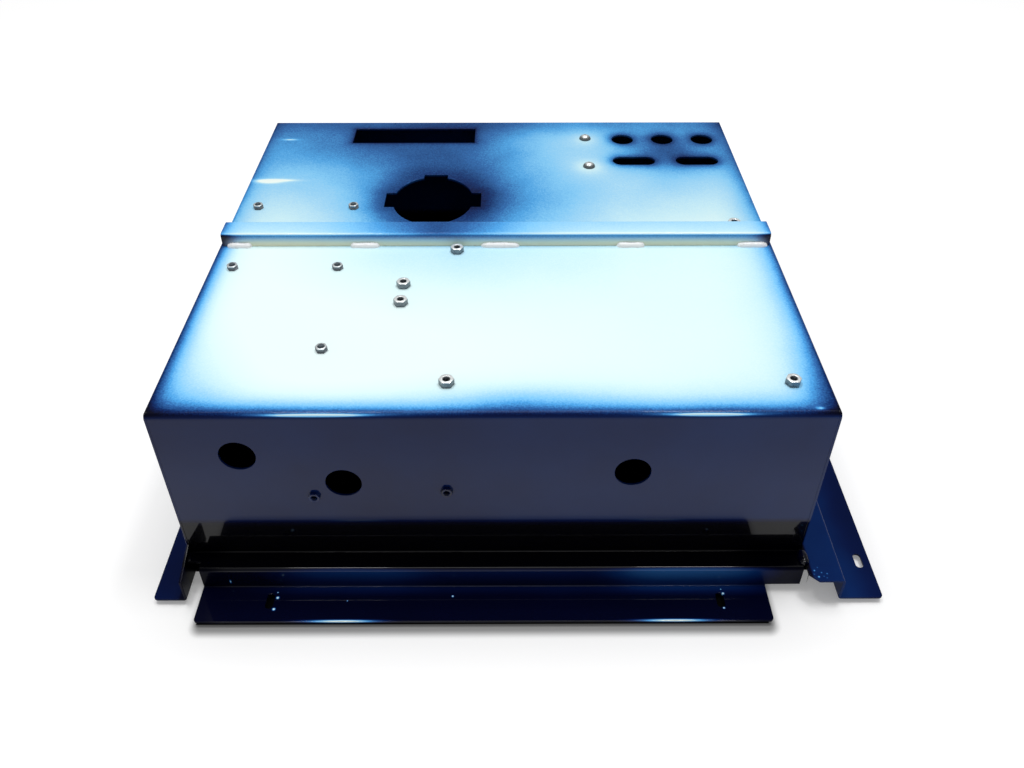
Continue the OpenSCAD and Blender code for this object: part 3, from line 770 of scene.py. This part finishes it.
def dressed_copy(name, node_name):
    piece = bpy.data.objects.new(name, frame["nodes"][node_name].data.copy())
    bpy.context.scene.collection.objects.link(piece)
    only(piece)
    bpy.ops.mesh.customdata_custom_splitnormals_clear()
    bpy.ops.object.mode_set(mode="EDIT")
    bpy.ops.mesh.select_all(action="SELECT")
    bpy.ops.mesh.remove_doubles(threshold=0.000002)
    bpy.ops.mesh.dissolve_limited(angle_limit=math.radians(0.5))
    bpy.ops.object.mode_set(mode="OBJECT")
    bevel_edges(piece, DRESSED_EDGE, False)
    bpy.ops.object.shade_smooth_by_angle(angle=math.radians(38))
    flat = piece.modifiers.new("flat", "WEIGHTED_NORMAL")
    flat.keep_sharp = True
    bpy.ops.object.modifier_apply(modifier="flat")
    return piece


for node_name in ("back_wrap", "left_side_panel", "right_side_panel"):
    sheet = dressed_copy(f"dressed_{node_name}", node_name)
    finish_piece(sheet, SHEET_ENAMEL, "sheet_paint", node_name)
channel = dressed_copy("dressed_channel", "stiffener_channel")
finish_piece(channel, CHANNEL_ENAMEL, "channel_paint", "stiffener_channel")

# %% [markdown]
# ## A turned blank
#
# Screws, bores and weld beads are all round bars whose radius changes along their length. By hand
# one starts with a circle, then extrudes and scales it again and again. The helper does just that
# for a list of stations, closes both ends, and leaves the bar upright on the origin.


# %% Turn a bar from a list of stations
def turned_bar(name, stations, sides):
    """stations: height and radius, both in millimetres, from the bottom up."""
    bpy.ops.object.select_all(action="DESELECT")
    height, radius = stations[0]
    bpy.ops.mesh.primitive_circle_add(
        vertices=sides, radius=radius * MM, fill_type="NGON", location=(0, 0, height * MM))
    bar = bpy.context.object
    bar.name = name
    bpy.ops.object.transform_apply(location=True, rotation=True, scale=True)
    bpy.ops.object.mode_set(mode="EDIT")
    bpy.ops.mesh.select_all(action="SELECT")
    for next_height, next_radius in stations[1:]:
        rise, share = (next_height - height) * MM, next_radius / radius
        bpy.ops.mesh.extrude_region_move(TRANSFORM_OT_translate={"value": (0, 0, rise)})
        bpy.ops.transform.resize(
            value=(share, share, 1), center_override=(0, 0, next_height * MM))
        height, radius = next_height, next_radius
    bpy.ops.mesh.select_all(action="SELECT")
    bpy.ops.mesh.remove_doubles(threshold=0.000001)
    bpy.ops.mesh.normals_make_consistent(inside=False)
    bpy.ops.object.mode_set(mode="OBJECT")
    return bar


def thread(low, high, pitch, root, crest):
    """Stations of a cut thread between two heights."""
    turns = round((high - low) / pitch)
    step = (high - low) / turns
    stations = []
    for turn in range(turns):
        stations += [(low + turn * step, root), (low + (turn + 0.5) * step, crest)]
    return stations + [(high, root)]


# %% [markdown]
# Three more moves of the workshop: one tool is carved out of a piece or joined to it, a piece's
# edges are rounded, and a finished master is copied to each place where it is needed, always with
# its own mesh.


# %% Carve, round and copy
def carve(piece, tool, operation):
    cut = piece.modifiers.new("cut", "BOOLEAN")
    cut.operation = operation
    cut.solver = "EXACT"
    cut.object = tool
    only(piece)
    bpy.ops.object.modifier_apply(modifier="cut")
    bpy.data.objects.remove(tool, do_unlink=True)
    return piece


def rounded(piece, width):
    only(piece)
    bevel_edges(piece, width, True)
    bpy.ops.object.shade_smooth_by_angle(angle=math.radians(35))
    return piece


def placed_copy(master, name, place, turn=(0, 0, 0)):
    only(master)
    bpy.ops.object.duplicate(linked=False)
    piece = bpy.context.object
    piece.name = name
    piece.location = place
    piece.rotation_euler = [math.radians(angle) for angle in turn]
    bpy.ops.object.transform_apply(location=True, rotation=True, scale=True)
    return piece


def on_node(node_name):
    """Middle of a node in plan, and its lowest level."""
    low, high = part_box(node_name)
    return Vector(((low.x + high.x) / 2, (low.y + high.y) / 2, low.z))


def fit_copies(master, new_name, old_name, count, material, turn=0):
    """Stand a copy on each numbered node, turned a little further each time."""
    for number in range(1, count + 1):
        old = f"{old_name}_{number}"
        piece = placed_copy(master, f"{new_name}_{number}", on_node(old), (0, 0, turn * number))
        finish_piece(piece, material, "zinc", old)


# %% [markdown]
# ## Hexagon nuts
#
# A nut is hexagon bar, its corners turned off at 30 degrees and its bore threaded. A six-sided
# cylinder is the bar. The turned corners are what is left inside a wide, flat cone, and the thread
# is a turned bar taken out of the middle. The small round on every edge is the barrelled, plated
# corner that shines.


# %% Model a nut
CORNER_SLOPE = 1.73
NUT_ROUND = 0.14


def hexagon_bar(name, across_flats, height):
    bpy.ops.object.select_all(action="DESELECT")
    bpy.ops.mesh.primitive_cylinder_add(
        vertices=6, radius=across_flats / math.sqrt(3) * MM, depth=height * MM,
        location=(0, 0, height / 2 * MM), rotation=(0, 0, math.radians(30)))
    bar = bpy.context.object
    bar.name = name
    bpy.ops.object.transform_apply(location=True, rotation=True, scale=True)
    if bar.dimensions.x < bar.dimensions.y:
        bar.rotation_euler = (0, 0, math.radians(30))
        bpy.ops.object.transform_apply(location=True, rotation=True, scale=True)
    return bar


def model_nut(name, across_flats, height, root, crest, pitch):
    nut = hexagon_bar(name, across_flats, height)
    top_radius = across_flats / 2 * 0.97
    cone = turned_bar("corner_cone", [
        (-0.1, top_radius + (height + 0.1) * CORNER_SLOPE), (height, top_radius),
        (height + 0.01, top_radius * 0.5)], 48)
    carve(nut, cone, "INTERSECT")
    lead_in = crest * 1.1
    cut_thread = thread(0.7, height - 0.7, pitch, root, crest)
    bore = turned_bar("bore", [(-0.2, lead_in), (0.0, lead_in)] + cut_thread + [
        (height, lead_in), (height + 0.2, lead_in)], 24)
    carve(nut, bore, "DIFFERENCE")
    rounded(nut, NUT_ROUND)
    print(name, [round(side / MM, 2) for side in nut.dimensions], "mm")
    return nut


# %% Fit the nuts
m6_master = model_nut("m6_master", 10, 5, 2.45, 2.8, 1.0)
fit_copies(m6_master, "weld_nut_m6", "m6_nut", 6, NUT_ZINC)
fit_copies(m6_master, "inside_nut", "inner_nut", 2, NUT_ZINC)
m5_master = model_nut("m5_master", 8, 4, 2.52, 2.6, 0.8)
fit_copies(m5_master, "nut_m5", "m5_nut", 5, SMALL_NUT_ZINC)
thin_master = model_nut("thin_master", 8, 2.7, 2.05, 2.4, 0.65)
for number in (1, 2):
    low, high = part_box(f"wall_nut_{number}")
    seat = Vector(((low.x + high.x) / 2, high.y, (low.z + high.z) / 2))
    wall_nut = placed_copy(thin_master, f"painted_nut_{number}", seat, (90, 0, 0))
    finish_piece(wall_nut, NUT_ENAMEL, "painted_nut", f"wall_nut_{number}")

# %% [markdown]
# ## Screws
#
# The screws that fill the small nuts are ordinary M5 pan heads put in from inside: head, plain
# neck, rolled thread, chamfered point. The two domed screws sit the other way round, heads outside.
# Each is one turned bar, with the driver's cross cut into the head by a tapered tool.


# %% Model a driver's cross
CROSS_TAPER = 0.45


def cross_tool(width, length, depth, level, upwards):
    """Two tapered bars, joined: the recess of a cross head. It opens at level."""
    parts = []
    for turn in (0, 90):
        bpy.ops.object.select_all(action="DESELECT")
        bpy.ops.mesh.primitive_cube_add(
            size=1, location=(0, 0, level * MM), rotation=(0, 0, math.radians(turn)))
        bar = bpy.context.object
        bar.scale = (length * MM, width * MM, depth * 2 * MM)
        bpy.ops.object.transform_apply(location=True, rotation=True, scale=True)
        bpy.ops.object.mode_set(mode="EDIT")
        bpy.ops.mesh.select_all(action="DESELECT")
        bpy.ops.object.mode_set(mode="OBJECT")
        for corner in bar.data.vertices:
            corner.select = (corner.co.z > level * MM) != upwards
        bpy.ops.object.mode_set(mode="EDIT")
        bpy.ops.transform.resize(
            value=(CROSS_TAPER, CROSS_TAPER, 1), center_override=(0, 0, level * MM))
        bpy.ops.object.mode_set(mode="OBJECT")
        parts.append(bar)
    return carve(parts[0], parts[1], "UNION")


def model_screw(name, stations, cross, sides):
    screw = turned_bar(name, stations, sides)
    carve(screw, cross_tool(*cross), "DIFFERENCE")
    only(screw)
    bpy.ops.object.shade_smooth_by_angle(angle=math.radians(32))
    print(name, [round(side / MM, 2) for side in screw.dimensions], "mm")
    return screw


# %% Fit the screws
PAN_HEAD = [(0.0, 2.4), (0.25, 3.5), (0.9, 4.4), (2.0, 4.75), (3.4, 4.75), (3.5, 4.6), (3.5, 2.45),
            (4.2, 2.45)]
PAN_CROSS = (1.0, 4.6, 1.6, 0.0, False)
m5_screw_master = model_screw(
    "m5_screw_master", PAN_HEAD + thread(4.3, 9.9, 0.8, 2.1, 2.48) + [(10.5, 1.7)], PAN_CROSS, 32)
fit_copies(m5_screw_master, "screw_m5", "m5_screw", 5, SCREW_ZINC)

DOME = [(8.0, 5.9), (8.25, 6.0), (8.7, 5.95), (9.4, 5.7), (10.2, 5.2), (10.9, 4.5), (11.5, 3.6),
        (12.0, 2.6), (12.3, 1.6), (12.44, 0.6)]
DOME_CROSS = (1.1, 4.6, 1.9, 12.44, True)
dome_master = model_screw(
    "dome_master", [(0, 1.9)] + thread(0.5, 7.2, 1.0, 2.35, 2.44) + [(8.0, 2.4)] + DOME,
    DOME_CROSS, 40)
fit_copies(dome_master, "dome_screw", "domed_screw", 2, DOME_ZINC, turn=25)
for master in (m6_master, m5_master, thin_master, m5_screw_master, dome_master):
    bpy.data.objects.remove(master, do_unlink=True)

# %% [markdown]
# ## Weld beads with a painted highlight
#
# The beads are white, a painted highlight that stands for the lamps mirrored in their gloss,
# with a straw-grey skin of slag in the ripples.


# %% Weld beads with a painted highlight
def weld_painted_highlight():
    material, tree, skin, point = new_material("weld_painted_highlight")
    texture = use(tree, spray, {
        "Point": point, "Peel Size": 0.0008, "Mist Size": 0.0005, "Cloud Size": 0.006})
    slag = times(tree, fade_in(tree, texture["Cloud"], 0.6, 0.75), 0.25)
    # The white is a painted highlight; the straw-grey is slag.
    painted_light_colour, straw_grey = linear(255, 255, 255), linear(176, 172, 158)
    fill(tree, skin, {
        "Base Color": mix_colour(tree, slag, painted_light_colour, straw_grey), "Metallic": 0.0,
        "Roughness": blend_value(tree, texture["Mist"], 0.25, 0.5), "Coat Weight": 1.0,
        "Coat Roughness": 0.3, "Normal": bumps(tree, texture["Peel"], 0.4, 0.3)})
    return material


WELD_PAINTED_HIGHLIGHT = weld_painted_highlight()

# %% [markdown]
# ## Weld beads
#
# A bead is a row of frozen puddles, each lapped on the one before it: hence the ripples, the ragged
# ends and the waist that is never even. Each is a turned bar whose stations swell and shrink, laid
# on its side and cut off where it is fused to the sheet and its neighbour, so it fills its corner.


# %% Shape a bead
PUDDLE = 1.1
WAIST = 0.1


def bead_stations(length, radius, ripple, seed):
    count = max(6, round(length / PUDDLE))
    stations = []
    for place in range(count + 1):
        share = place / count
        ends = max(0.0, 1 - abs(2 * share - 1) ** 6) ** 0.5
        wander = 0.5 + 0.5 * math.sin(seed * 2.3 + share * 9.0 + math.sin(seed + share * 23.0))
        lapped = 1.0 if place % 2 else 1 - ripple
        swell = radius * ends * lapped * (1 - WAIST * wander)
        stations.append((share * length, max(0.12, swell)))
    return stations


def lay_bead(name, node_name, shape, along, centre, cuts, material, slot):
    """shape: radius in millimetres, ripple and seed. cuts: planes where the bead is fused."""
    low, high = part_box(node_name)
    length = ((high - low).x if along == "X" else (high - low).y) / MM
    bead = turned_bar(name, bead_stations(length, *shape), 20)
    bead.rotation_euler = [math.radians(a) for a in ((0, 90, 0) if along == "X" else (-90, 0, 0))]
    bead.location = centre
    bpy.ops.object.transform_apply(location=True, rotation=True, scale=True)
    bpy.ops.object.mode_set(mode="EDIT")
    for place, normal in cuts:
        bpy.ops.mesh.select_all(action="SELECT")
        bpy.ops.mesh.bisect(plane_co=place, plane_no=normal, use_fill=True, clear_inner=True)
    bpy.ops.mesh.select_all(action="SELECT")
    bpy.ops.mesh.remove_doubles(threshold=0.000002)
    bpy.ops.mesh.normals_make_consistent(inside=False)
    bpy.ops.object.mode_set(mode="OBJECT")
    bpy.ops.object.shade_smooth_by_angle(angle=math.radians(50))
    return finish_piece(bead, material, slot, node_name)


# %% Lay the beads
FORWARDS, UPWARDS, RIGHTWARDS = (0, -1, 0), (0, 0, 1), (1, 0, 0)
STITCH, LUMP, FILLET = (4.0, 0.08), (4.5, 0.05), (2.5, 0.08)
for number in range(1, 6):
    weld = f"stitch_weld_{number}"
    low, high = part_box(weld)
    lay_bead(f"stitch_bead_{number}", weld, (*STITCH, number), "X", (low.x, high.y, low.z),
             [((0, high.y, 0), FORWARDS), ((0, 0, low.z), UPWARDS)], WELD_PAINTED_HIGHLIGHT, "weld_paint")
for number, end in enumerate(("near", "far")):
    weld = f"{end}_right_corner_weld"
    low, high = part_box(weld)
    lay_bead(f"{end}_right_lump", weld, (*LUMP, 3 + number), "Y",
             ((low.x + high.x) / 2, low.y, low.z), [((0, 0, low.z), UPWARDS)],
             CORNER_ENAMEL, "corner_paint")
    weld = f"{end}_left_corner_weld"
    low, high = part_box(weld)
    lay_bead(f"{end}_left_fillet", weld, (*FILLET, 6 + number), "Y", low,
             [((0, 0, low.z), UPWARDS), ((low.x, 0, 0), RIGHTWARDS)],
             CORNER_ENAMEL, "corner_paint")

# %% [markdown]
# ## Floor and light
#
# The studio is a white table under a wide, soft light. The floor is a large pale sheet that takes
# the box's shadow. Under the body its colour and glow are painted black, a painted shade, since no
# light gets in there, and along the near and far flanges, which nearly touch it, a painted contact
# shadow darkens it. What the camera and the gloss see of it glows a little, painted a little weaker
# near the box, so the open table looks white. The lamps stay at a plain level, at which a colour
# shows as mixed.


# %% Floor
FLOOR_DROP = 4
bpy.ops.object.select_all(action="DESELECT")
bpy.ops.mesh.primitive_plane_add(size=12, location=(0, 0, -FLOOR_DROP * MM))
floor = bpy.context.object
floor.name = "studio_floor"
floor_material, tree, skin, point = new_material("studio_floor")


def from_rectangle(low_x, high_x, half_y, start, end):
    """Fades in from a rectangle's outline, between two distances from it."""
    inputs = {"Point": point, "Centre": ((low_x + high_x) / 2, 0, 0),
              "Half Size": ((high_x - low_x) / 2, half_y, 1)}
    return fade_in(tree, use(tree, rim, inputs)[0], start, end)


SHARP, WIDE_SHADE, CONTACT_SHADE = (0.0, 0.001), (0.003, 0.09), (0.003, 0.0125)
# Under the body and flanges the floor's colour and glow are painted black, a painted shade.
under_body = from_rectangle(left_x - 0.017, right_x + 0.04, far_y - 0.002, *SHARP)
under_flanges = from_rectangle(left_x + 0.013, right_x - 0.032, cad_high.y - 0.002, *SHARP)
open_floor = maths(tree, "MINIMUM", under_body, under_flanges)
# Beside the box the glow is painted a little weaker, and along the near and far flanges a painted
# contact shadow darkens colour and glow.
beside = from_rectangle(cad_low.x, cad_high.x, cad_high.y, *WIDE_SHADE)
painted_contact_shadow = from_rectangle(left_x + 0.018, right_x - 0.034, cad_high.y, *CONTACT_SHADE)
whiteness = times(tree, blend_value(tree, open_floor, 0.01, 0.85),
                  blend_value(tree, painted_contact_shadow, 0.3, 1.0))
white = node(tree, "ShaderNodeCombineColor", {0: whiteness, 1: whiteness, 2: whiteness})
rays = node(tree, "ShaderNodeLightPath").outputs
seen = largest(tree, *[rays[f"Is {kind} Ray"] for kind in ("Camera", "Glossy", "Transmission")])
shown = times(tree, open_floor, blend_value(tree, painted_contact_shadow, 0.25, 1.0),
              blend_value(tree, beside, 0.22, 0.32))
fill(tree, skin, {
    "Base Color": white.outputs[0], "Roughness": 0.9, "Specular IOR Level": 0.0,
    "Emission Color": (1, 1, 1, 1), "Emission Strength": times(tree, seen, shown)})
floor.data.materials.append(floor_material)
print(floor.name, "lies", FLOOR_DROP, "mm below the flanges")

# %% World and lamps
world = bpy.data.worlds.new("studio")
bpy.context.scene.world = world
world.use_nodes = True
background = world.node_tree.nodes["Background"]
fill(world.node_tree, background, {"Color": (1, 1, 1, 1), "Strength": 0.3})


def add_lamp(name, kind, energy, place, turn, **settings):
    data = bpy.data.lights.new(name, kind)
    data.energy = energy
    for key, value in settings.items():
        setattr(data, key, value)
    lamp = bpy.data.objects.new(name, data)
    lamp.location = place
    lamp.rotation_euler = [math.radians(angle) for angle in turn]
    bpy.context.scene.collection.objects.link(lamp)
    print("lamp", name, "at strength", energy)


SOFTBOX = {"shape": "RECTANGLE", "size": 0.28, "size_y": 0.5}
add_lamp("overhead", "SUN", 1.1, (0, 0, 2), (-15, 0, 0), angle=math.radians(40))
add_lamp("left_softbox", "AREA", 8.0, (-0.5, 0, 2), (0, -14, 0), **SOFTBOX)
add_lamp("right_softbox", "AREA", 8.0, (0.5, 0, 2), (0, 14, 0), **SOFTBOX)
